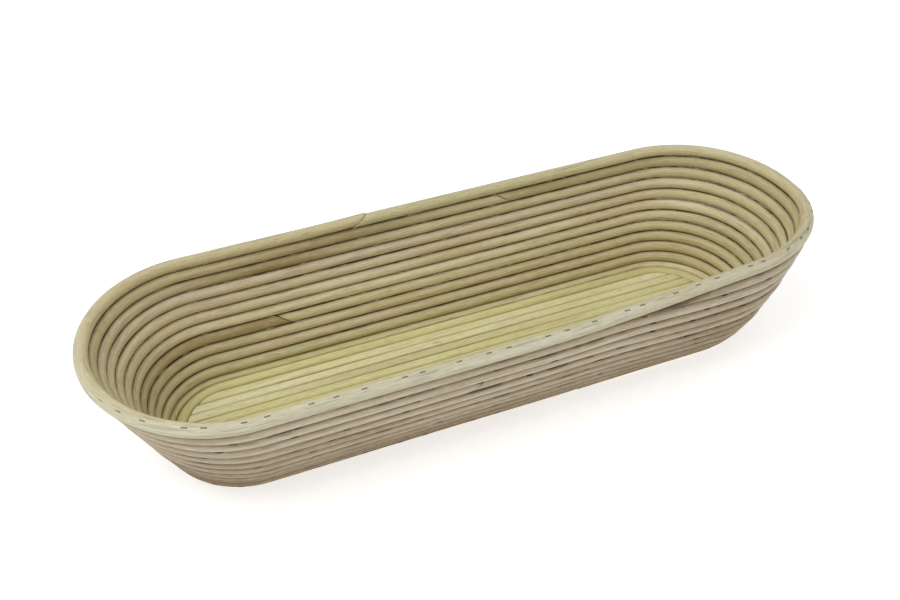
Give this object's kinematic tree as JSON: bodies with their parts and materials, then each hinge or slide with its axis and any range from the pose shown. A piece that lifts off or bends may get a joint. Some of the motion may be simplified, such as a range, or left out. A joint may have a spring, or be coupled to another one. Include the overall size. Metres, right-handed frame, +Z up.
{
  "type": "proofing basket",
  "caption": "Long oval basket wound from round rattan cane, with sloping ribbed walls and a flat cane floor, for shaping and proving bread dough.",
  "frame": {"origin": "on the table under the middle of the basket", "axes": "+X along the basket, +Y across it to the far side, +Z up"},
  "size_m": [0.4688, 0.155, 0.0822],
  "materials": {
    "wall_cane": "bare peeled cane",
    "rim_cane": "bare peeled cane",
    "floor_cane": "bare peeled cane",
    "staple_wire": "dull drawn wire"
  },
  "bodies": {
    "root": {"base_coil": "floor_cane", "wall_cane_1": "wall_cane", "wall_cane_2": "wall_cane", "wall_cane_3": "wall_cane", "wall_cane_4": "wall_cane", "rim_hoop": "rim_cane", "floor_cane_1": "floor_cane", "floor_cane_2": "floor_cane", "floor_cane_3": "floor_cane", "floor_cane_4": "floor_cane", "floor_cane_5": "floor_cane", "floor_cane_6": "floor_cane", "floor_cane_7": "floor_cane", "floor_cane_8": "floor_cane", "floor_cane_9": "floor_cane", "floor_cane_10": "floor_cane", "rim_staples": "staple_wire", "upper_wall_staples": "staple_wire", "lower_wall_staples": "staple_wire", "base_staples": "staple_wire", "floor_staples": "staple_wire"}
  },
  "joints": []
}
